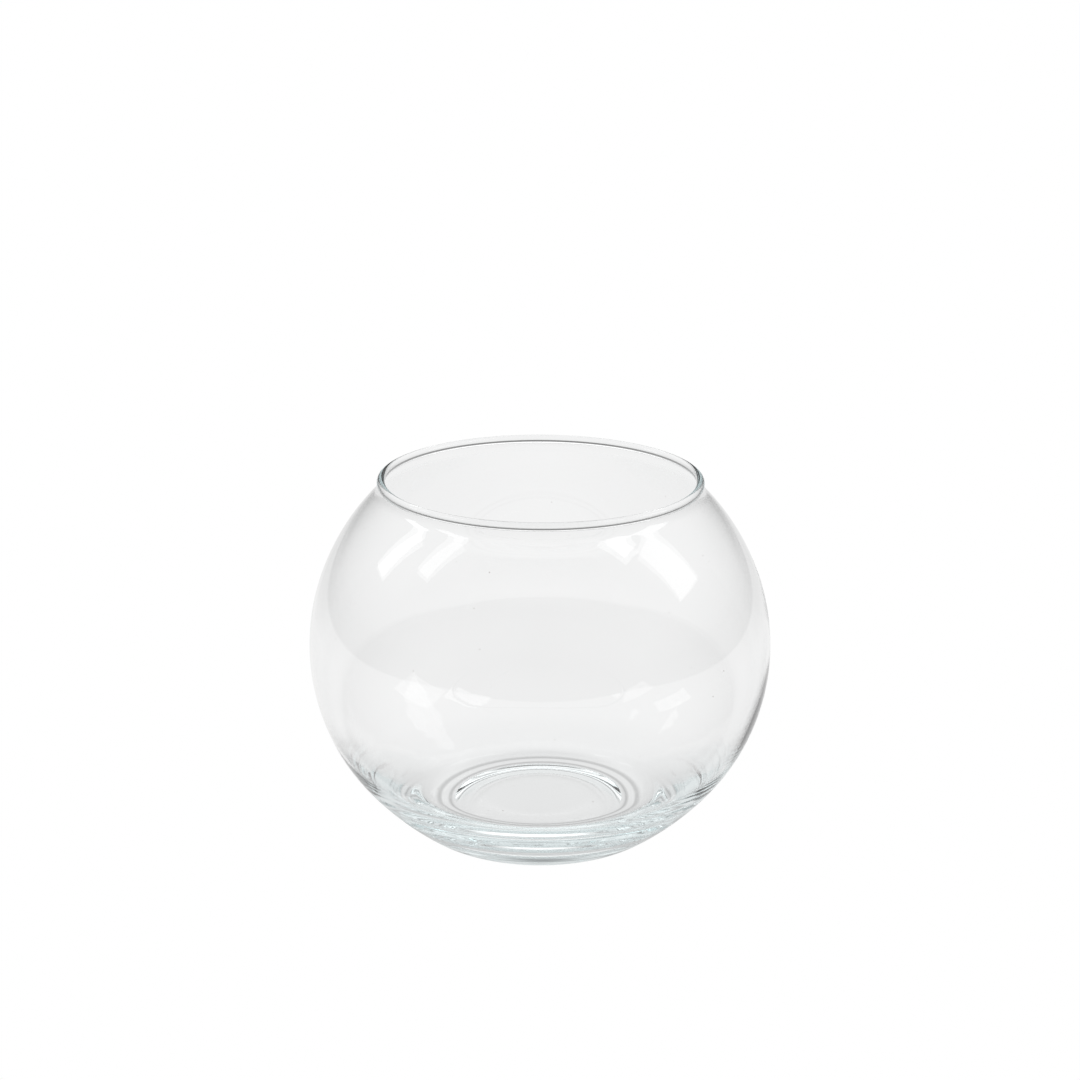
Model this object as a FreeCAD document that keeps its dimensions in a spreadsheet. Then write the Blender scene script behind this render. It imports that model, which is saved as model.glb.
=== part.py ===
import FreeCAD, Part
import math
import os
import Sketcher

# Rose bowl vase: one piece of clear soda-lime glass, a rounded bowl with a wide beaded mouth.
# The frame's origin is the centre of the foot on the surface it stands on, +Z is the bowl's axis.
# Each section is drawn in the XZ plane and turned about the axis.

os.makedirs("parts", exist_ok=True)
doc = FreeCAD.newDocument("rose_bowl_vase")

# Driving sizes in millimetres, and shares that shape the outline between them
sizes = [
    ("bowlDia", 150.0, "widest diameter of the body"),
    ("bowlHeight", 119.0, "table to the top of the rim"),
    ("widestHeight", 62.0, "height of the widest circle"),
    ("rimDia", 102.0, "diameter of the rim bead's centre line"),
    ("rimWall", 1.4, "wall just under the bead"),
    ("beadProud", 0.65, "how far the fire-polished bead stands out from the wall, on each side"),
    ("beadFillet", 0.4, "rounding where the wall meets the bead"),
    ("neckRadius", 6.0, "outer radius with which the wall turns up to the bead"),
    ("shoulderShare", 0.983, "shoulder radius as a share of the one arc that would reach the neck"),
    ("shoulderTopShare", 0.485, "where the shoulder ends, from the widest circle to the bead"),
    ("bellyShare", 0.96, "belly radius as a share of the one arc that would reach the heel"),
    ("bellyEndShare", 0.3, "where the belly ends, from the table to the widest circle"),
    ("heelRadius", 13.5, "rounding of the heel"),
    ("footDia", 67.5, "outer diameter of the flat ring the bowl stands on"),
    ("landWidth", 5.25, "width of that ring, from its outer edge in to the push-up"),
    ("coveWidth", 12.0, "from there in to the push-up's flat roof"),
    ("puntDepth", 2.7, "height of that roof above the table"),
    ("puntLipRadius", 1.5, "rounding where the ring turns up into the push-up"),
    ("widestWall", 1.1, "wall at the widest circle, where blown glass is thinnest"),
    ("innerBellyShare", 0.97, "inner belly radius as a share of the outer one"),
    ("thinWallShare", 0.516, "where the thin wall ends, from the table to the widest circle"),
    ("floorThickness", 10.4, "glass from the table to the flat inner floor"),
    ("cutOverrun", 5.0, "how far the cavity's cut runs past the glass"),
]
sheet = doc.addObject("Spreadsheet::Sheet", "Sizes")
for row, (alias, value, note) in enumerate(sizes, start=1):
    sheet.set("A%d" % row, note)
    sheet.set("B%d" % row, str(value))
    sheet.setAlias("B%d" % row, alias)
derived = doc.addObject("App::VarSet", "Derived")
doc.recompute()


def derive(name, expression):
    # a value that follows the sheet, and its number at present
    derived.addProperty("App::PropertyFloat", name)
    derived.setExpression(name, expression)
    doc.recompute()
    return getattr(derived, name)


def reach(run, rise, tip):
    # radius of the arc that starts upright and touches a circle of radius tip, run in and rise away
    return "((%s)^2 + (%s)^2 - (%s)^2) / (2 * ((%s) - (%s)))" % (run, rise, tip, run, tip)


def point(x, z):
    return FreeCAD.Vector(x, z, 0)


def arc(centre, radius, start, end):
    circle = Part.Circle(point(*centre), FreeCAD.Vector(0, 0, 1), radius)
    return Part.ArcOfCircle(circle, start, end)


def line(start, end):
    return Part.LineSegment(point(*start), point(*end))


def bearing(centre, target):
    return math.atan2(target[1] - centre[1], target[0] - centre[0])


def tangentArc(start, turn, centre, radius):
    # radius and centre of the arc that leaves start with its normal at turn and ends touching a circle:
    # from inside it, or from outside it where the circle's radius is given as negative
    normal = (math.cos(turn), math.sin(turn))
    dx, dz = start[0] - centre[0], start[1] - centre[1]
    along = dx * normal[0] + dz * normal[1]
    found = (dx * dx + dz * dz - radius * radius) / (2 * (along - radius))
    return found, (start[0] - found * normal[0], start[1] - found * normal[1])


def sectionSketch(name):
    sketch = body.newObject("Sketcher::SketchObject", name)
    plane = [o for o in body.Origin.OriginFeatures if o.Role == "XZ_Plane"][0]
    sketch.AttachmentSupport = [(plane, "")]
    sketch.MapMode = "FlatFace"
    return sketch


def chain(sketch, kinds):
    # joins each stretch of the section to the next, and the last to the first
    for first, (kind, end, start) in enumerate(kinds):
        following = (first + 1) % len(kinds)
        sketch.addConstraint(Sketcher.Constraint(kind, first, end, following, start))


def bind(sketch, kind, where, name):
    # a dimension of the sketch that follows the derived value of that name
    index = sketch.addConstraint(Sketcher.Constraint(kind, *where, getattr(derived, name)))
    sketch.renameConstraint(index, name)
    sketch.setExpression("Constraints." + name, "Derived." + name)


def turned(kind, name, sketch):
    feature = body.newObject("PartDesign::" + kind, name)
    feature.Profile = sketch
    feature.ReferenceAxis = (sketch, ["V_Axis"])
    feature.Angle = 360
    sketch.Visibility = False
    doc.recompute()
    return feature


body = doc.addObject("PartDesign::Body", "GlassBowl")
body.Label = "glass_bowl"
origin, axisLine, levelLine = -1, -2, -1
flat, up = 0, math.pi / 2

# Blank: the outside of the bowl as a solid, from the foot to the middle of the bead
bowlRadius = derive("bowlRadius", "Sizes.bowlDia / 2")
widestHeight = derive("widestHeight", "Sizes.widestHeight")
footRadius = derive("footRadius", "Sizes.footDia / 2")
puntRadius = derive("puntRadius", "Derived.footRadius - Sizes.landWidth")
roofRadius = derive("roofRadius", "Derived.puntRadius - Sizes.coveWidth")
puntDepth = derive("puntDepth", "Sizes.puntDepth")
puntLip = derive("puntLip", "Sizes.puntLipRadius")
heelRadius = derive("heelRadius", "Sizes.heelRadius")
bellyEnd = derive("bellyEnd", "Sizes.bellyEndShare * Sizes.widestHeight")
bellyRadius = derive("bellyRadius", "Sizes.bellyShare * " + reach(
    "Derived.bowlRadius - Derived.footRadius", "Sizes.widestHeight - Sizes.heelRadius", "Sizes.heelRadius"))
beadRadius = derive("beadRadius", "Sizes.rimWall / 2 + Sizes.beadProud")
beadHeight = derive("beadHeight", "Sizes.bowlHeight - Derived.beadRadius")
neckRadius = derive("neckRadius", "Sizes.neckRadius")
neckTop = derive("neckTop", "Sizes.rimDia / 2 + Sizes.rimWall / 2")
shoulderTop = derive("shoulderTop", "Sizes.widestHeight + Sizes.shoulderTopShare"
                     " * (Derived.beadHeight - Sizes.widestHeight)")
shoulderRadius = derive("shoulderRadius", "Sizes.shoulderShare * " + reach(
    "Derived.bowlRadius - Derived.neckTop - Sizes.neckRadius", "Derived.beadHeight - Sizes.widestHeight",
    "-Sizes.neckRadius"))

coveWidth = puntRadius - roofRadius
coveAndLip = (coveWidth ** 2 + puntDepth ** 2) / (2 * puntDepth)
coveRadius = coveAndLip - puntLip
coveTurn = math.asin(coveWidth / coveAndLip)
heelCentre = (footRadius, heelRadius)
bellyCentre = (bowlRadius - bellyRadius, widestHeight)
bellyTurn = -math.asin((widestHeight - bellyEnd) / bellyRadius)
bellyFoot = (bellyCentre[0] + bellyRadius * math.cos(bellyTurn), bellyEnd)
flareRadius, flareCentre = tangentArc(bellyFoot, bellyTurn, heelCentre, heelRadius)
heelTurn = bearing(flareCentre, heelCentre)
shoulderCentre = (bowlRadius - shoulderRadius, widestHeight)
shoulderTurn = math.asin((shoulderTop - widestHeight) / shoulderRadius)
shoulderEnd = (shoulderCentre[0] + shoulderRadius * math.cos(shoulderTurn), shoulderTop)
neckCentre = (neckTop + neckRadius, beadHeight)
collarRadius, collarCentre = tangentArc(shoulderEnd, shoulderTurn, neckCentre, -neckRadius)
neckTurn = bearing(collarCentre, neckCentre)
blankSketch = sectionSketch("BlankSection")
roof, cove, lip, land, heel, flare, belly, shoulder, collar, neck, lid, axis = blankSketch.addGeometry([
    line((0, puntDepth), (roofRadius, puntDepth)),
    arc((roofRadius, puntDepth - coveRadius), coveRadius, up - coveTurn, up),
    arc((puntRadius, puntLip), puntLip, -up - coveTurn, -up),
    line((puntRadius, 0), (footRadius, 0)),
    arc(heelCentre, heelRadius, -up, heelTurn),
    arc(flareCentre, flareRadius, heelTurn, bellyTurn),
    arc(bellyCentre, bellyRadius, bellyTurn, flat),
    arc(shoulderCentre, shoulderRadius, flat, shoulderTurn),
    arc(collarCentre, collarRadius, shoulderTurn, neckTurn),
    arc(neckCentre, neckRadius, math.pi, math.pi + neckTurn),
    line((neckTop, beadHeight), (0, beadHeight)),
    line((0, beadHeight), (0, puntDepth)),
], False)
chain(blankSketch, [
    ("Tangent", 2, 2), ("Tangent", 1, 1), ("Tangent", 2, 1), ("Tangent", 2, 1), ("Tangent", 2, 1),
    ("Tangent", 2, 1), ("Tangent", 2, 1), ("Tangent", 2, 1), ("Tangent", 2, 2), ("Coincident", 1, 1),
    ("Coincident", 2, 1), ("Coincident", 2, 1),
])
blankSketch.addConstraint([
    Sketcher.Constraint("PointOnObject", roof, 1, axisLine),
    Sketcher.Constraint("Horizontal", roof),
    Sketcher.Constraint("PointOnObject", land, 1, levelLine),
    Sketcher.Constraint("Horizontal", land),
    Sketcher.Constraint("Horizontal", belly, 3, belly, 2),
    Sketcher.Constraint("Horizontal", neck, 3, neck, 1),
    Sketcher.Constraint("Horizontal", lid),
    Sketcher.Constraint("PointOnObject", lid, 2, axisLine),
])
bind(blankSketch, "DistanceX", (origin, 1, roof, 2), "roofRadius")
bind(blankSketch, "DistanceY", (origin, 1, roof, 2), "puntDepth")
bind(blankSketch, "Radius", (lip,), "puntLip")
bind(blankSketch, "DistanceX", (origin, 1, land, 1), "puntRadius")
bind(blankSketch, "DistanceX", (origin, 1, land, 2), "footRadius")
bind(blankSketch, "Radius", (heel,), "heelRadius")
bind(blankSketch, "DistanceY", (origin, 1, belly, 1), "bellyEnd")
bind(blankSketch, "Radius", (belly,), "bellyRadius")
bind(blankSketch, "DistanceX", (origin, 1, belly, 2), "bowlRadius")
bind(blankSketch, "DistanceY", (origin, 1, belly, 2), "widestHeight")
bind(blankSketch, "Radius", (shoulder,), "shoulderRadius")
bind(blankSketch, "DistanceY", (origin, 1, shoulder, 2), "shoulderTop")
bind(blankSketch, "Radius", (neck,), "neckRadius")
bind(blankSketch, "DistanceX", (origin, 1, neck, 1), "neckTop")
bind(blankSketch, "DistanceY", (origin, 1, neck, 1), "beadHeight")
blank = turned("Revolution", "Blank", blankSketch)

# Cavity: the wall is thinnest at the widest circle and thickens both to the rim and to the heavy floor
innerRadius = derive("innerRadius", "Derived.bowlRadius - Sizes.widestWall")
innerBelly = derive("innerBelly", "Sizes.innerBellyShare * Derived.bellyRadius")
thinWallEnd = derive("thinWallEnd", "Sizes.thinWallShare * Sizes.widestHeight")
floorThickness = derive("floorThickness", "Sizes.floorThickness")
innerNeck = derive("innerNeck", "Sizes.neckRadius + Sizes.rimWall")
mouthRadius = derive("mouthRadius", "Derived.neckTop - Sizes.rimWall")
cavityTop = derive("cavityTop", "Derived.beadHeight + Sizes.cutOverrun")

innerBellyCentre = (innerRadius - innerBelly, widestHeight)
innerBellyTurn = -math.asin((widestHeight - thinWallEnd) / innerBelly)
thinWallFoot = (innerBellyCentre[0] + innerBelly * math.cos(innerBellyTurn), thinWallEnd)
basinRadius = (thinWallEnd - floorThickness) / (1 + math.sin(innerBellyTurn))
basinCentre = (thinWallFoot[0] - basinRadius * math.cos(innerBellyTurn), floorThickness + basinRadius)
innerShoulder, innerShoulderCentre = tangentArc((innerRadius, widestHeight), flat, neckCentre, -innerNeck)
innerNeckTurn = bearing(innerShoulderCentre, neckCentre)
cavitySketch = sectionSketch("CavitySection")
floor, basin, belly, shoulder, throat, throatSide, lid, axis = cavitySketch.addGeometry([
    line((0, floorThickness), (basinCentre[0], floorThickness)),
    arc(basinCentre, basinRadius, -up, innerBellyTurn),
    arc(innerBellyCentre, innerBelly, innerBellyTurn, flat),
    arc(innerShoulderCentre, innerShoulder, flat, innerNeckTurn),
    arc(neckCentre, innerNeck, math.pi, math.pi + innerNeckTurn),
    line((mouthRadius, beadHeight), (mouthRadius, cavityTop)),
    line((mouthRadius, cavityTop), (0, cavityTop)),
    line((0, cavityTop), (0, floorThickness)),
], False)
chain(cavitySketch, [
    ("Tangent", 2, 1), ("Tangent", 2, 1), ("Tangent", 2, 1), ("Tangent", 2, 2), ("Coincident", 1, 1),
    ("Coincident", 2, 1), ("Coincident", 2, 1), ("Coincident", 2, 1),
])
cavitySketch.addConstraint([
    Sketcher.Constraint("PointOnObject", floor, 1, axisLine),
    Sketcher.Constraint("Horizontal", floor),
    Sketcher.Constraint("Horizontal", belly, 3, belly, 2),
    Sketcher.Constraint("Horizontal", throat, 3, throat, 1),
    Sketcher.Constraint("Vertical", throatSide),
    Sketcher.Constraint("Horizontal", lid),
    Sketcher.Constraint("PointOnObject", lid, 2, axisLine),
])
bind(cavitySketch, "DistanceY", (origin, 1, floor, 2), "floorThickness")
bind(cavitySketch, "DistanceY", (origin, 1, belly, 1), "thinWallEnd")
bind(cavitySketch, "Radius", (belly,), "innerBelly")
bind(cavitySketch, "DistanceX", (origin, 1, belly, 2), "innerRadius")
bind(cavitySketch, "DistanceY", (origin, 1, belly, 2), "widestHeight")
bind(cavitySketch, "Radius", (throat,), "innerNeck")
bind(cavitySketch, "DistanceX", (origin, 1, throat, 1), "mouthRadius")
bind(cavitySketch, "DistanceY", (origin, 1, throat, 1), "beadHeight")
bind(cavitySketch, "DistanceY", (origin, 1, lid, 2), "cavityTop")
cavity = turned("Groove", "Cavity", cavitySketch)

# Bead: the rim is melted to a round ring that closes the top of the wall
rimRadius = derive("rimRadius", "Sizes.rimDia / 2")
beadSketch = sectionSketch("BeadSection")
ring = beadSketch.addGeometry(
    Part.Circle(point(rimRadius, beadHeight), FreeCAD.Vector(0, 0, 1), beadRadius), False)
bind(beadSketch, "Radius", (ring,), "beadRadius")
bind(beadSketch, "DistanceX", (origin, 1, ring, 3), "rimRadius")
bind(beadSketch, "DistanceY", (origin, 1, ring, 3), "beadHeight")
bead = turned("Revolution", "Bead", beadSketch)

# The two circles where the wall runs into the bead are rounded
beadEdges = []
for number, edge in enumerate(bead.Shape.Edges, start=1):
    box = edge.BoundBox
    nearBead = abs(box.XMax - rimRadius) < beadRadius and abs(box.ZMax - beadHeight) < beadRadius
    if nearBead and edge.Closed and box.ZLength < beadRadius:
        beadEdges.append("Edge%d" % number)
beadFillet = body.newObject("PartDesign::Fillet", "BeadFillet")
beadFillet.Base = (bead, beadEdges)
beadFillet.setExpression("Radius", "Sizes.beadFillet")
body.Tip = beadFillet
doc.recompute()

# Every step has to have removed or added glass, and the result has to be one sound solid
for thing in doc.Objects:
    if "Invalid" in thing.State or "Error" in thing.State:
        raise RuntimeError("%s failed: %s" % (thing.Name, thing.State))
steps = [blank, cavity, bead, beadFillet]
leastShare = 1e-9
for before, after in zip(steps, steps[1:]):
    if math.isclose(before.Shape.Volume, after.Shape.Volume, rel_tol=leastShare):
        raise RuntimeError("%s changed nothing" % after.Name)
shape = body.Shape
if shape.isNull() or not shape.isValid() or len(shape.Solids) != 1:
    raise RuntimeError("%s is not one sound solid" % body.Label)
shape.exportStep("parts/%s.step" % body.Label)
box = shape.optimalBoundingBox()
print("%s: %.2f x %.2f x %.2f, volume %.0f" % (body.Label, box.XLength, box.YLength, box.ZLength, shape.Volume))
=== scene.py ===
import math

import bpy
from mathutils import Matrix, Vector


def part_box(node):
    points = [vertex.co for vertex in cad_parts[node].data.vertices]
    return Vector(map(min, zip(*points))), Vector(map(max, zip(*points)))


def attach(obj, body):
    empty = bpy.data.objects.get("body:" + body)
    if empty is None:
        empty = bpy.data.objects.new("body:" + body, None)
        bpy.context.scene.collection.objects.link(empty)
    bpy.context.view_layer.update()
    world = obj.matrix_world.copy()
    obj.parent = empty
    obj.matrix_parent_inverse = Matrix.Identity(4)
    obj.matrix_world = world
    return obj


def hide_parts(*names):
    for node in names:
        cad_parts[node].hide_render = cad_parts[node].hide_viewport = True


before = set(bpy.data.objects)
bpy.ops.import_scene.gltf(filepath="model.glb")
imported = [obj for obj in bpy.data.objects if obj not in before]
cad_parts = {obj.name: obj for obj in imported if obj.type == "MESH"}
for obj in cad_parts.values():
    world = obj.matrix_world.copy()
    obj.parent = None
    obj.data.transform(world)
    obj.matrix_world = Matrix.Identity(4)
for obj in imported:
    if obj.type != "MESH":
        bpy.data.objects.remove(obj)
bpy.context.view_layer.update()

scene = bpy.context.scene
white = (1, 1, 1, 1)
lowest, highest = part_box("glass_bowl")
print("frame loaded:", sorted(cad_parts))


def addNode(tree, kind, feeds=None, **settings):
    # one node with its settings, each input fed with a plain value or with another node's socket
    node = tree.nodes.new(kind)
    for name, value in settings.items():
        setattr(node, name, value)
    for socket, value in (feeds or {}).items():
        if isinstance(value, bpy.types.NodeSocket):
            tree.links.new(value, node.inputs[socket])
        else:
            node.inputs[socket].default_value = value
    return node


def remap(tree, value, fromMin, fromMax, toMin, toMax):
    # eases from toMin to toMax while the value goes from fromMin to fromMax
    feeds = {"Value": value, "From Min": fromMin, "From Max": fromMax, "To Min": toMin, "To Max": toMax}
    return addNode(tree, "ShaderNodeMapRange", feeds, interpolation_type="SMOOTHSTEP").outputs[0]


def choose(tree, factor, whenZero, whenOne):
    feeds = {0: factor, "A": whenZero, "B": whenOne}
    return addNode(tree, "ShaderNodeMix", feeds, data_type="FLOAT").outputs[0]


# camera, at the photograph's viewing angle
view = {
    "frameSize": 1080,  # pixels, square
    "focalPixels": 2290.659,
    "distance": 0.75,  # from the centre of the widest circle
    "elevation": math.radians(20.0938),
    "widestHeight": 0.062,
    "centreX": 540.46,  # pixel where the centre of the widest circle lies
    "centreY": 643.558,
    "roll": 0.0047,
    "sensorWidth": 36,
}


def makeCamera(v):
    camera = bpy.data.objects.new("camera", bpy.data.cameras.new("camera"))
    scene.collection.objects.link(camera)
    camera.data.sensor_width = v["sensorWidth"]
    camera.data.lens = v["focalPixels"] / v["frameSize"] * v["sensorWidth"]
    middle = v["frameSize"] / 2
    pitch = v["elevation"] - math.atan2(v["centreY"] - middle, v["focalPixels"])
    yaw = math.atan2(v["centreX"] - middle, v["focalPixels"])
    back, up = v["distance"] * math.cos(v["elevation"]), v["distance"] * math.sin(v["elevation"])
    camera.matrix_world = (
        Matrix.Translation((0, -back, v["widestHeight"] + up))
        @ Matrix.Rotation(yaw, 4, "Z")
        @ Matrix.Rotation(math.radians(90) - pitch, 4, "X")
        @ Matrix.Rotation(v["roll"], 4, "Z")
    )
    scene.camera = camera


makeCamera(view)
print("camera placed")


# levels that the glass shows, by compass direction round the bowl; directly seen, all of it is white
compass = {
    "right": 0, "backRight": 45, "back": 90, "backLeft": 135,
    "left": 180, "frontLeft": 225, "front": 270, "frontRight": 315,
}
paper = {
    "left": -0.6, "right": 0.6, "front": -0.62, "back": 1.2,
    "floorReach": 8.0,  # how far the pale floor under it runs
    "floorDrop": 0.0004,
    "nearest": 0.02, "furthest": 3.0,
    # under the bowl the paper's glow is darker in two rings, painted shadow of the foot and the heel
    "paintedShadowRings": ((0.02, 0.82), (0.0275, 0.82), (0.0289, 0.78), (0.0295, 0.45), (0.0301, 0.6), (0.0307, 0.84),
                  (0.0328, 0.84), (0.0334, 0.5), (0.0341, 0.55), (0.0355, 0.84)),
    # glow levels at these distances from the bowl's axis; the low levels nearest the bowl are painted shadow
    # of the bowl
    "distances": (0.045, 0.08, 0.15, 0.3, 0.5, 0.9),
    "levels": {
        "right": (0.65, 0.85, 0.8, 0.88, 0.88, 0.8), "backRight": (0.82, 0.89, 0.91, 0.87, 0.7, 0.6),
        "back": (0.84, 0.89, 0.89, 0.91, 0.91, 0.91), "backLeft": (0.82, 0.89, 0.91, 0.87, 0.7, 0.6),
        "left": (0.6, 0.82, 0.85, 0.92, 0.92, 0.85), "frontLeft": (0.3, 0.55, 0.82, 0.95, 0.95, 0.9),
        "front": (0.22, 0.45, 0.66, 0.86, 0.86, 0.86), "frontRight": (0.3, 0.55, 0.82, 0.97, 0.97, 0.92),
    },
}
floor = {
    "nearest": 0.5, "furthest": 3.0, "paintedShadowRings": (), "distances": (0.62, 1.0, 2.5),
    "levels": {
        "right": (0.45, 0.45, 0.45), "backRight": (0.4, 0.4, 0.4),
        "back": (0.75, 0.7, 0.6), "backLeft": (0.4, 0.4, 0.4),
        "left": (0.45, 0.45, 0.45), "frontLeft": (0.45, 0.45, 0.45),
        "front": (0.45, 0.45, 0.45), "frontRight": (0.45, 0.45, 0.45),
    },
}
room = {
    "heights": (0.04, 0.13, 0.25, 0.41, 0.62, 0.9),  # sine of the climb from the horizon
    "levels": {
        "right": (0.45, 0.6, 0.78, 1.0, 1.1, 1.1), "backRight": (0.45, 0.55, 0.65, 0.85, 1.1, 1.1),
        "back": (0.16, 0.18, 0.26, 0.86, 1.7, 1.1), "backLeft": (0.45, 0.55, 0.65, 0.85, 1.1, 1.1),
        "left": (0.45, 0.6, 0.72, 0.9, 1.0, 1.1), "frontLeft": (0.5, 0.55, 0.6, 0.65, 0.7, 1.1),
        "front": (0.45, 0.5, 0.56, 0.62, 0.66, 1.1), "frontRight": (0.5, 0.6, 0.7, 0.72, 0.75, 1.1),
    },
}


def rampOf(tree, value, stops):
    # a level that follows the value, which runs from 0 to 1, through the stops
    ramp = addNode(tree, "ShaderNodeValToRGB", {"Fac": value})
    points = ramp.color_ramp.elements
    points[0].position, points[1].position = stops[0][0], stops[-1][0]
    for position, level in stops[1:-1]:
        points.new(position)
    for point, (position, level) in zip(points, stops):
        point.color = (level, level, level, 1)
    return ramp.outputs["Color"]


sectorTurn = math.radians(45)  # between one compass direction and the next


def levelAround(tree, way, value, stopsOf):
    # blends the eight compass directions' ramps by how near the way points to each
    flatWay = addNode(tree, "ShaderNodeVectorMath", {0: way, 1: (1, 1, 0)}, operation="MULTIPLY").outputs[0]
    heading = addNode(tree, "ShaderNodeVectorMath", {0: flatWay}, operation="NORMALIZE").outputs[0]
    total = weights = 0
    for side, degrees in compass.items():
        turn = math.radians(degrees)
        feeds = {0: heading, 1: (math.cos(turn), math.sin(turn), 0)}
        near = addNode(tree, "ShaderNodeVectorMath", feeds, operation="DOT_PRODUCT").outputs["Value"]
        weight = remap(tree, near, math.cos(sectorTurn), 1, 0, 1)
        feeds = {0: rampOf(tree, value, stopsOf[side]), 1: weight, 2: total}
        total = addNode(tree, "ShaderNodeMath", feeds, operation="MULTIPLY_ADD").outputs[0]
        weights = addNode(tree, "ShaderNodeMath", {0: weight, 1: weights}, operation="ADD").outputs[0]
    return addNode(tree, "ShaderNodeMath", {0: total, 1: weights}, operation="DIVIDE").outputs[0]


# a floor that glows: plain white to the camera, and to every other ray at levels by direction and distance;
# the paper's levels paint the shadow round and under the bowl
def paintedLightFloorMaterial(name, p):
    material = bpy.data.materials.new(name)
    material.use_nodes = True
    tree = material.node_tree
    tree.nodes.remove(tree.nodes["Principled BSDF"])
    place = addNode(tree, "ShaderNodeTexCoord").outputs["Object"]
    away = addNode(tree, "ShaderNodeVectorMath", {0: place}, operation="LENGTH").outputs["Value"]
    away = addNode(tree, "ShaderNodeMath", {0: away, 1: math.e}, operation="LOGARITHM").outputs[0]
    nearest, furthest = math.log(p["nearest"]), math.log(p["furthest"])
    feeds = {"Value": away, "From Min": nearest, "From Max": furthest}
    away = addNode(tree, "ShaderNodeMapRange", feeds).outputs[0]
    stopsOf = {}
    for side, levels in p["levels"].items():
        # the painted shadow rings under the bowl come first, then the glow levels by distance
        stops = list(p["paintedShadowRings"]) + list(zip(p["distances"], levels))
        stopsOf[side] = [((math.log(d) - nearest) / (furthest - nearest), level) for d, level in stops]
    through = levelAround(tree, place, away, stopsOf)
    ray = addNode(tree, "ShaderNodeLightPath").outputs
    # glows plain white to the camera, and at the painted levels, painted shadow included, to all other rays
    glow = addNode(tree, "ShaderNodeEmission", {"Strength": choose(tree, ray["Is Camera Ray"], through, 1.0)})
    tree.links.new(glow.outputs[0], tree.nodes["Material Output"].inputs["Surface"])
    return material


def makeFloor(name, material, left, right, front, back, height):
    mesh = bpy.data.meshes.new(name)
    square = [(left, front, height), (right, front, height), (right, back, height), (left, back, height)]
    mesh.from_pydata(square, [], [(0, 1, 2, 3)])
    mesh.materials.append(material)
    plane = bpy.data.objects.new(name, mesh)
    scene.collection.objects.link(plane)


wide = paper["floorReach"]
edges = [paper[side] for side in ("left", "right", "front", "back")]
makeFloor("paperSheet", paintedLightFloorMaterial("whitePaperPaintedShadow", paper), *edges, 0)
makeFloor("paleFloor", paintedLightFloorMaterial("paleFloor", floor), -wide, wide, -wide, wide, -paper["floorDrop"])


def makeRoom(r):
    world = bpy.data.worlds.new("softRoom")
    world.use_nodes = True
    scene.world = world
    tree = world.node_tree
    direction = addNode(tree, "ShaderNodeTexCoord").outputs["Generated"]
    climb = addNode(tree, "ShaderNodeSeparateXYZ", {0: direction}).outputs["Z"]
    stopsOf = {side: list(zip(r["heights"], levels)) for side, levels in r["levels"].items()}
    through = levelAround(tree, direction, climb, stopsOf)
    ray = addNode(tree, "ShaderNodeLightPath").outputs
    level = choose(tree, ray["Is Camera Ray"], through, 1.0)
    background = tree.nodes["Background"]
    background.inputs["Color"].default_value = white
    tree.links.new(level, background.inputs["Strength"])


makeRoom(room)

# soft panels: compass direction from +X, height over the floor in degrees, width, height, brightness
panels = {
    "leftNarrow": (166, 33, 0.26, 0.62, 1.15),
    "leftWide": (191, 47, 0.24, 0.62, 1.1),
    "rightWide": (1, 36, 0.5, 0.75, 1.0),
    "rightHigh": (-14, 60, 0.3, 0.55, 1.4),
}
panelDistance = 1.6
panelAim = Vector((0, 0, 0.06))

for name, (side, climb, width, height, brightness) in panels.items():
    light = bpy.data.lights.new(name, "AREA")
    light.shape = "RECTANGLE"
    light.size = width
    light.size_y = height
    light.energy = brightness * math.pi * width * height
    panel = bpy.data.objects.new(name, light)
    scene.collection.objects.link(panel)
    side, climb = math.radians(side), math.radians(climb)
    towards = Vector((math.cos(climb) * math.cos(side), math.cos(climb) * math.sin(side), math.sin(climb)))
    panel.location = panelAim + towards * panelDistance
    panel.rotation_euler = towards.to_track_quat("Z", "Y").to_euler()
    panel.visible_camera = False
print("floor, room and panels made")


# the bowl's sizes in metres; shares shape the outline between them
bowl = {
    "Bowl Diameter": highest.x - lowest.x,
    "Bowl Height": highest.z - lowest.z,
    "Widest Height": 0.062,
    "Rim Diameter": 0.102,  # centre line of the bead
    "Rim Wall": 0.0014,
    "Bead Proud": 0.00065,
    "Bead Fillet": 0.0004,
    "Neck Radius": 0.006,
    "Shoulder Share": 0.983,
    "Shoulder Top Share": 0.485,
    "Belly Share": 0.96,
    "Belly End Share": 0.3,
    "Heel Radius": 0.0135,
    "Foot Diameter": 0.0675,
    "Punt Diameter": 0.057,
    "Punt Roof Diameter": 0.033,
    "Punt Depth": 0.0027,
    "Punt Lip Radius": 0.0015,
    "Widest Wall": 0.0011,
    "Inner Belly Share": 0.97,
    "Thin Wall Share": 0.516,
    "Floor Thickness": 0.0104,
    "Ring Spacing": 0.0015,  # between the mesh's rings on long stretches
    "Ring Turn": 0.09,  # most that a stretch turns from ring to ring, in radians
    "Columns": 320,
    "Weld": 0.000005,  # rings nearer than this are joined
    "Sag": 0.00035,  # how far the heavy base's cavity lies off centre
}


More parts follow.
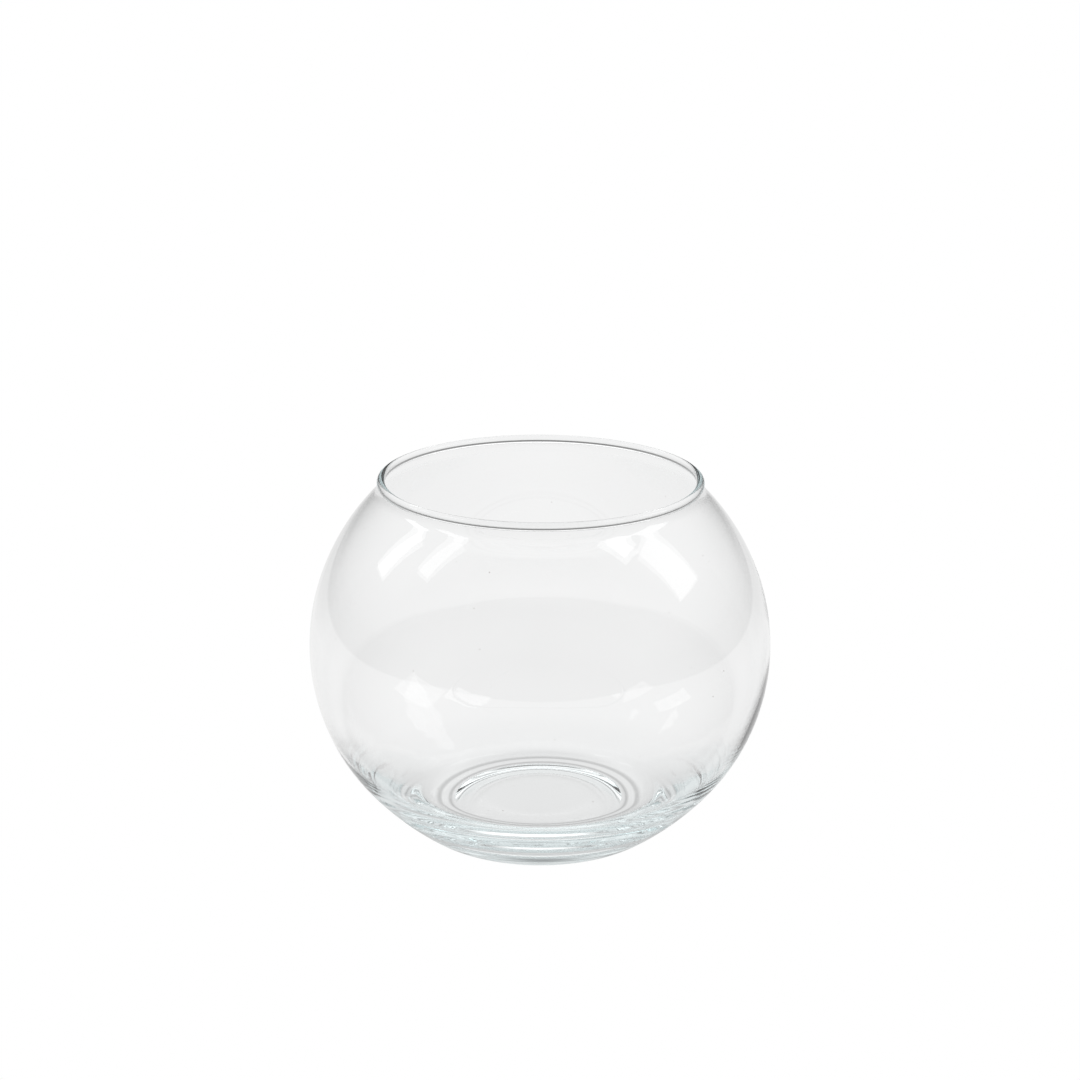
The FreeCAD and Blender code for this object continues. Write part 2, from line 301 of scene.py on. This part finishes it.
class Flow:
    # a number on its way through a node tree: a sum written with it becomes the tree's math nodes

    def __init__(self, tree, socket):
        self.tree = tree
        self.socket = socket

    def step(self, operation, *terms):
        node = self.tree.nodes.new("ShaderNodeMath")
        node.operation = operation
        for slot, term in zip(node.inputs, terms):
            if isinstance(term, Flow):
                self.tree.links.new(term.socket, slot)
            else:
                slot.default_value = term
        return Flow(self.tree, node.outputs[0])

    def __add__(self, other):
        return self.step("ADD", self, other)

    def __radd__(self, other):
        return self.step("ADD", other, self)

    def __sub__(self, other):
        return self.step("SUBTRACT", self, other)

    def __rsub__(self, other):
        return self.step("SUBTRACT", other, self)

    def __mul__(self, other):
        return self.step("MULTIPLY", self, other)

    def __truediv__(self, other):
        return self.step("DIVIDE", self, other)

    def __neg__(self):
        return self.step("MULTIPLY", self, -1)

    def cos(self):
        return self.step("COSINE", self)

    def sin(self):
        return self.step("SINE", self)

    def asin(self):
        return self.step("ARCSINE", self)

    def root(self):
        return self.step("SQRT", self)

    def size(self):
        return self.step("ABSOLUTE", self)


def bearing(centre, target):
    rise, run = target[1] - centre[1], target[0] - centre[0]
    return rise.step("ARCTAN2", rise, run)


def reach(run, rise, tip):
    # radius of the arc that starts upright and touches a circle of radius tip, run in and rise away
    return (run * run + rise * rise - tip * tip) / ((run - tip) * 2)


def tangentArc(start, turn, centre, radius):
    # radius and centre of the arc that leaves start with its normal at turn and ends touching a circle
    across, up = turn.cos(), turn.sin()
    dx, dz = start[0] - centre[0], start[1] - centre[1]
    along = dx * across + dz * up
    found = (dx * dx + dz * dz - radius * radius) / ((along - radius) * 2)
    return found, (start[0] - found * across, start[1] - found * up)


def bowlTree(sizes):
    tree = bpy.data.node_groups.new("turnedBowl", "GeometryNodeTree")
    face = tree.interface
    face.new_socket("Geometry", in_out="INPUT", socket_type="NodeSocketGeometry")
    face.new_socket("Geometry", in_out="OUTPUT", socket_type="NodeSocketGeometry")
    for name, value in sizes.items():
        kind = "NodeSocketInt" if isinstance(value, int) else "NodeSocketFloat"
        face.new_socket(name, in_out="INPUT", socket_type=kind).default_value = value
    face.new_socket("Material", in_out="INPUT", socket_type="NodeSocketMaterial")
    given = tree.nodes.new("NodeGroupInput").outputs
    size = {name: Flow(tree, given[name]) for name in sizes}
    zero = size["Punt Depth"] * 0
    quarter, half = math.pi / 2, math.pi

    def arc(centre, radius, start, end):
        sweep = end - start
        spacing = radius.step("MINIMUM", size["Ring Spacing"], radius * size["Ring Turn"])
        count = radius * sweep.size() / spacing + 2
        feeds = {"Resolution": count.socket, "Radius": radius.socket, "Sweep Angle": sweep.socket}
        feeds["Start Angle"] = start.socket if isinstance(start, Flow) else start
        curve = addNode(tree, "GeometryNodeCurveArc", feeds, mode="RADIUS").outputs[0]
        shift = addNode(tree, "ShaderNodeCombineXYZ", {"X": centre[0].socket, "Y": centre[1].socket})
        moved = {"Geometry": curve, "Translation": shift.outputs[0]}
        return addNode(tree, "GeometryNodeTransform", moved).outputs[0]

    def level(start, end, height):
        ends = [addNode(tree, "ShaderNodeCombineXYZ", {"X": x.socket, "Y": height.socket}).outputs[0]
                for x in (start, end)]
        curve = addNode(tree, "GeometryNodeCurvePrimitiveLine", {"Start": ends[0], "End": ends[1]}).outputs[0]
        count = (end - start).size() / size["Ring Spacing"] / 2 + 2
        return addNode(tree, "GeometryNodeResampleCurve", {"Curve": curve, "Count": count.socket}).outputs[0]

    def together(parts):
        join = addNode(tree, "GeometryNodeJoinGeometry")
        for part in parts:
            tree.links.new(part, join.inputs[0])
        return join.outputs[0]

    # outside, from the push-up under the foot to the bead
    radius, widest = size["Bowl Diameter"] / 2, size["Widest Height"]
    foot, punt, roof = size["Foot Diameter"] / 2, size["Punt Diameter"] / 2, size["Punt Roof Diameter"] / 2
    depth, heel, wall = size["Punt Depth"], size["Heel Radius"], size["Rim Wall"]
    bead = wall / 2 + size["Bead Proud"]
    beadCentre = (size["Rim Diameter"] / 2, size["Bowl Height"] - bead)
    neck = size["Neck Radius"]
    neckCentre = (beadCentre[0] + wall / 2 + neck, beadCentre[1])
    lip = size["Punt Lip Radius"]
    coveAndLip = ((punt - roof) * (punt - roof) + depth * depth) / (depth * 2)
    cove = coveAndLip - lip
    coveTurn = ((punt - roof) / coveAndLip).asin()
    heelCentre = (foot, heel)
    belly = size["Belly Share"] * reach(radius - foot, widest - heel, heel)
    bellyEnd = size["Belly End Share"] * widest
    bellyTurn = -((widest - bellyEnd) / belly).asin()
    bellyCentre = (radius - belly, widest)
    bellyFoot = (bellyCentre[0] + belly * bellyTurn.cos(), bellyEnd)
    flare, flareCentre = tangentArc(bellyFoot, bellyTurn, heelCentre, heel)
    heelTurn = bearing(flareCentre, heelCentre)
    shoulder = size["Shoulder Share"] * reach(radius - neckCentre[0], neckCentre[1] - widest, -neck)
    shoulderRise = size["Shoulder Top Share"] * (beadCentre[1] - widest)
    shoulderTurn = (shoulderRise / shoulder).asin()
    shoulderCentre = (radius - shoulder, widest)
    shoulderEnd = (shoulderCentre[0] + shoulder * shoulderTurn.cos(), widest + shoulderRise)
    collar, collarCentre = tangentArc(shoulderEnd, shoulderTurn, neckCentre, -neck)
    neckTurn = bearing(collarCentre, neckCentre)

    # the two small fillets beside the bead: their circles touch the bead and one side of the wall
    fillet = size["Bead Fillet"]
    gap = neckCentre[0] - beadCentre[0]

    def filletCentre(reachFromNeck):
        touch = bead + fillet
        back = (reachFromNeck * reachFromNeck - touch * touch + gap * gap) / (gap * 2)
        drop = (reachFromNeck * reachFromNeck - back * back).root()
        return neckCentre[0] - back, neckCentre[1] - drop

    outerFillet = filletCentre(neck - fillet)
    innerFillet = filletCentre(neck + wall + fillet)
    outerSide = bearing(outerFillet, neckCentre)
    innerSide = bearing(innerFillet, neckCentre)
    outer = together([
        level(zero, roof, depth),
        arc((roof, depth - cove), cove, quarter, quarter - coveTurn),
        arc((punt, lip), lip, -quarter - coveTurn, zero - quarter),
        level(punt, foot, zero),
        arc(heelCentre, heel, -quarter, heelTurn),
        arc(flareCentre, flare, heelTurn, bellyTurn),
        arc(bellyCentre, belly, bellyTurn, zero),
        arc(shoulderCentre, shoulder, 0, shoulderTurn),
        arc(collarCentre, collar, shoulderTurn, neckTurn),
        arc(neckCentre, neck, neckTurn - half, outerSide - half),
        arc(outerFillet, fillet, outerSide + half, bearing(outerFillet, beadCentre)),
        arc(beadCentre, bead, bearing(beadCentre, outerFillet), bearing(innerFillet, beadCentre) + half),
        arc(innerFillet, fillet, bearing(innerFillet, beadCentre), innerSide),
    ])

    # inside, from the bead down to the flat floor
    innerNeck = neck + wall
    inner = radius - size["Widest Wall"]
    innerShoulder, innerShoulderCentre = tangentArc((inner, widest), zero, neckCentre, -innerNeck)
    innerNeckTurn = bearing(innerShoulderCentre, neckCentre)
    innerBelly = size["Inner Belly Share"] * belly
    thinEnd = size["Thin Wall Share"] * widest
    innerTurn = -((widest - thinEnd) / innerBelly).asin()
    innerCentre = (inner - innerBelly, widest)
    floor = size["Floor Thickness"]
    basin = (thinEnd - floor) / (1 + innerTurn.sin())
    basinAcross = innerCentre[0] + innerBelly * innerTurn.cos() - basin * innerTurn.cos()
    inside = together([
        arc(neckCentre, innerNeck, innerSide - half, innerNeckTurn - half),
        arc(innerShoulderCentre, innerShoulder, innerNeckTurn, zero),
        arc(innerCentre, innerBelly, zero, innerTurn),
        arc((basinAcross, floor + basin), basin, innerTurn, zero - quarter),
        level(basinAcross, zero, floor),
    ])
    feeds = {"Geometry": inside, "Name": "inside", "Value": 1.0}
    kind = {"data_type": "FLOAT", "domain": "POINT"}
    inside = addNode(tree, "GeometryNodeStoreNamedAttribute", feeds, **kind).outputs[0]

    # every stretch is turned about the axis on a circle, then the rings that meet are welded
    rail = size["Rim Wall"]
    pulled = addNode(tree, "ShaderNodeCombineXYZ", {"X": (-rail).socket}).outputs[0]
    feeds = {"Geometry": together([outer, inside]), "Translation": pulled, "Scale": (1, -1, 1)}
    section = addNode(tree, "GeometryNodeTransform", feeds).outputs[0]
    feeds = {"Resolution": size["Columns"].socket, "Radius": rail.socket}
    circle = addNode(tree, "GeometryNodeCurvePrimitiveCircle", feeds, mode="RADIUS").outputs[0]
    circle = addNode(tree, "GeometryNodeSetCurveNormal", {0: circle}, mode="Z_UP").outputs[0]
    feeds = {"Curve": circle, "Profile Curve": section}
    strips = addNode(tree, "GeometryNodeCurveToMesh", feeds).outputs[0]
    strips = addNode(tree, "GeometryNodeFlipFaces", {0: strips}).outputs[0]  # faces point out of the glass
    feeds = {"Geometry": strips, "Distance": size["Weld"].socket}
    mesh = addNode(tree, "GeometryNodeMergeByDistance", feeds).outputs[0]

    # the cavity of the heavy base sits a little off centre
    place = addNode(tree, "GeometryNodeInputPosition").outputs[0]
    height = addNode(tree, "ShaderNodeSeparateXYZ", {0: place}).outputs["Z"]
    feeds = {"Name": "inside"}
    within = addNode(tree, "GeometryNodeInputNamedAttribute", feeds, data_type="FLOAT").outputs[0]
    low = Flow(tree, remap(tree, height, thinEnd.socket, widest.socket, 1, 0)) * Flow(tree, within)
    aside = addNode(tree, "ShaderNodeCombineXYZ", {"X": (low * -size["Sag"]).socket}).outputs[0]
    mesh = addNode(tree, "GeometryNodeSetPosition", {"Geometry": mesh, "Offset": aside}).outputs[0]
    mesh = addNode(tree, "GeometryNodeSetShadeSmooth", {"Geometry": mesh}).outputs[0]
    mesh = addNode(tree, "GeometryNodeRealizeInstances", {"Geometry": mesh}).outputs[0]
    feeds = {"Geometry": mesh, "Material": given["Material"]}
    mesh = addNode(tree, "GeometryNodeSetMaterial", feeds).outputs[0]
    tree.links.new(mesh, tree.nodes.new("NodeGroupOutput").inputs[0])
    return tree


# clear soda-lime glass, faintly green-blue where light runs far through it
glass = {
    "ior": 1.52,
    "tint": (0.78, 0.95, 0.97, 1),
    "tintDensity": 4.5,
    "ripple": 0.0002,  # height of the long ripples that the mould leaves round the heavy base
    "rippleAcross": 140.0, "rippleAlong": 6.0,  # waves per metre up the wall and round it
    "rippleDetail": 1.5,
    "rippleFoot": 0.012, "rippleTop": 0.034,  # strong up to the first height, gone at the second
    "swell": 0.00004, "swellScale": 22.0, "swellDetail": 1.0,  # broad unevenness of the whole blown wall
    "smudge": 0.02, "smudgeScale": 35.0, "smudgeDetail": 3.0,  # roughness of the faint handling marks
    "smudgeFrom": 0.55, "smudgeFull": 0.8,  # noise levels between which a mark comes in
    "speckScale": 85.0,  # cells per metre; a speck shows where the wall passes through a cell's middle
    "speckCore": 0.014, "speckEdge": 0.028,  # radii, as shares of a cell
    "speckColour": (0.5, 0.47, 0.45, 1),
}


def glassMaterial(g):
    material = bpy.data.materials.new("clearGlass")
    material.use_nodes = True
    tree = material.node_tree
    surface = tree.nodes["Principled BSDF"]
    surface.inputs["IOR"].default_value = g["ior"]
    surface.inputs["Transmission Weight"].default_value = 1
    place = addNode(tree, "ShaderNodeTexCoord").outputs["Object"]
    stretch = (g["rippleAlong"], g["rippleAlong"], g["rippleAcross"])
    drawn = addNode(tree, "ShaderNodeVectorMath", {0: place, 1: stretch}, operation="MULTIPLY").outputs[0]
    feeds = {"Vector": drawn, "Scale": 1, "Detail": g["rippleDetail"]}
    ripple = addNode(tree, "ShaderNodeTexNoise", feeds).outputs[0]
    height = addNode(tree, "ShaderNodeSeparateXYZ", {0: place}).outputs["Z"]
    depth = remap(tree, height, g["rippleFoot"], g["rippleTop"], g["ripple"], 0)
    ripple = addNode(tree, "ShaderNodeMath", {0: ripple, 1: depth}, operation="MULTIPLY").outputs[0]
    feeds = {"Vector": place, "Scale": g["swellScale"], "Detail": g["swellDetail"]}
    swell = addNode(tree, "ShaderNodeTexNoise", feeds).outputs[0]
    feeds = {0: swell, 1: g["swell"], 2: ripple}
    relief = addNode(tree, "ShaderNodeMath", feeds, operation="MULTIPLY_ADD").outputs[0]
    bump = addNode(tree, "ShaderNodeBump", {"Height": relief, "Distance": 1}).outputs[0]
    tree.links.new(bump, surface.inputs["Normal"])
    feeds = {"Vector": place, "Scale": g["smudgeScale"], "Detail": g["smudgeDetail"]}
    smudges = addNode(tree, "ShaderNodeTexNoise", feeds).outputs[0]
    marks = remap(tree, smudges, g["smudgeFrom"], g["smudgeFull"], 0, g["smudge"])
    tree.links.new(marks, surface.inputs["Roughness"])
    feeds = {"Vector": place, "Scale": g["speckScale"]}
    apart = addNode(tree, "ShaderNodeTexVoronoi", feeds).outputs["Distance"]
    speck = remap(tree, apart, g["speckCore"], g["speckEdge"], 1, 0)
    feeds = {"Factor": speck, 6: white, 7: g["speckColour"]}  # sockets 6, 7 and 2 carry the colours
    tint = addNode(tree, "ShaderNodeMix", feeds, data_type="RGBA").outputs[2]
    tree.links.new(tint, surface.inputs["Base Color"])
    body = addNode(tree, "ShaderNodeVolumeAbsorption", {"Color": g["tint"], "Density": g["tintDensity"]})
    tree.links.new(body.outputs[0], tree.nodes["Material Output"].inputs["Volume"])
    return material


def makeBowl(sizes, material):
    tree = bowlTree(sizes)
    grown = bpy.data.objects.new("glassBowl", bpy.data.meshes.new("glassBowl"))
    scene.collection.objects.link(grown)
    maker = grown.modifiers.new("turnedBowl", "NODES")
    maker.node_group = tree
    sockets = {s.name: s.identifier for s in tree.interface.items_tree if s.in_out == "INPUT"}
    for name, value in sizes.items():
        maker[sockets[name]] = value
    maker[sockets["Material"]] = material
    evaluated = grown.evaluated_get(bpy.context.evaluated_depsgraph_get())
    mesh = bpy.data.meshes.new_from_object(evaluated)
    grown.modifiers.remove(maker)
    grown.data = mesh
    return grown


glassBowl = makeBowl(bowl, glassMaterial(glass))
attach(glassBowl, "root")
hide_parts("glass_bowl")
print("bowl made:", len(glassBowl.data.vertices), "points,", len(glassBowl.data.polygons), "faces")

scene.view_settings.view_transform = "Standard"
scene.view_settings.look = "None"
lightBounces = 40  # light is passed on many times inside the heavy base
scene.cycles.max_bounces = lightBounces
scene.cycles.glossy_bounces = lightBounces
scene.cycles.transmission_bounces = lightBounces
